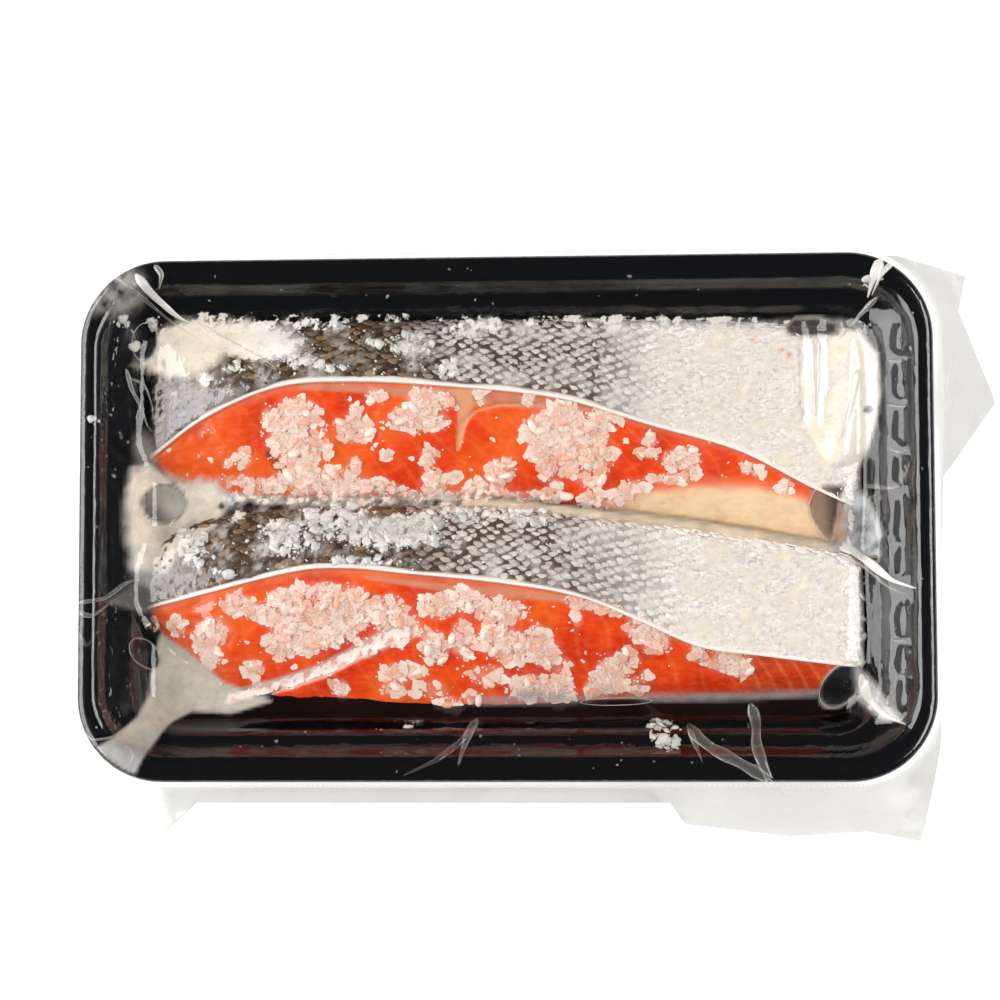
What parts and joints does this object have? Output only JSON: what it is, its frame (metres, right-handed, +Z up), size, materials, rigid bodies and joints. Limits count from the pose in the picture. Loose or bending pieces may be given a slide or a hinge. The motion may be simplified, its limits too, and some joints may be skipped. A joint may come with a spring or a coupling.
{
  "type": "pack of salted salmon fillets",
  "caption": "Koji-salted salmon slices with skin on, shingled in a shallow rounded black tray and sealed in a clear vacuum pouch with loose margins.",
  "frame": {"origin": "middle of the flat underside of the pouch, below the tray's middle", "axes": "+X along the slices, +Y from the front slice to the back slice, +Z up out of the tray"},
  "size_m": [0.242, 0.1504, 0.025],
  "materials": {
    "tray_black": "glossy moulded plastic",
    "clear_film": "clear glossy film",
    "salmon_flesh": "moist raw flesh",
    "salmon_skin": "wet scaled skin",
    "koji_brine": "milky brine with rice koji"
  },
  "bodies": {
    "root": {"tray": "tray_black", "base_film": "clear_film", "back_flesh": "salmon_flesh", "back_skin": "salmon_skin", "front_flesh": "salmon_flesh", "front_skin": "salmon_skin", "brine": "koji_brine", "top_film": "clear_film"}
  },
  "joints": []
}
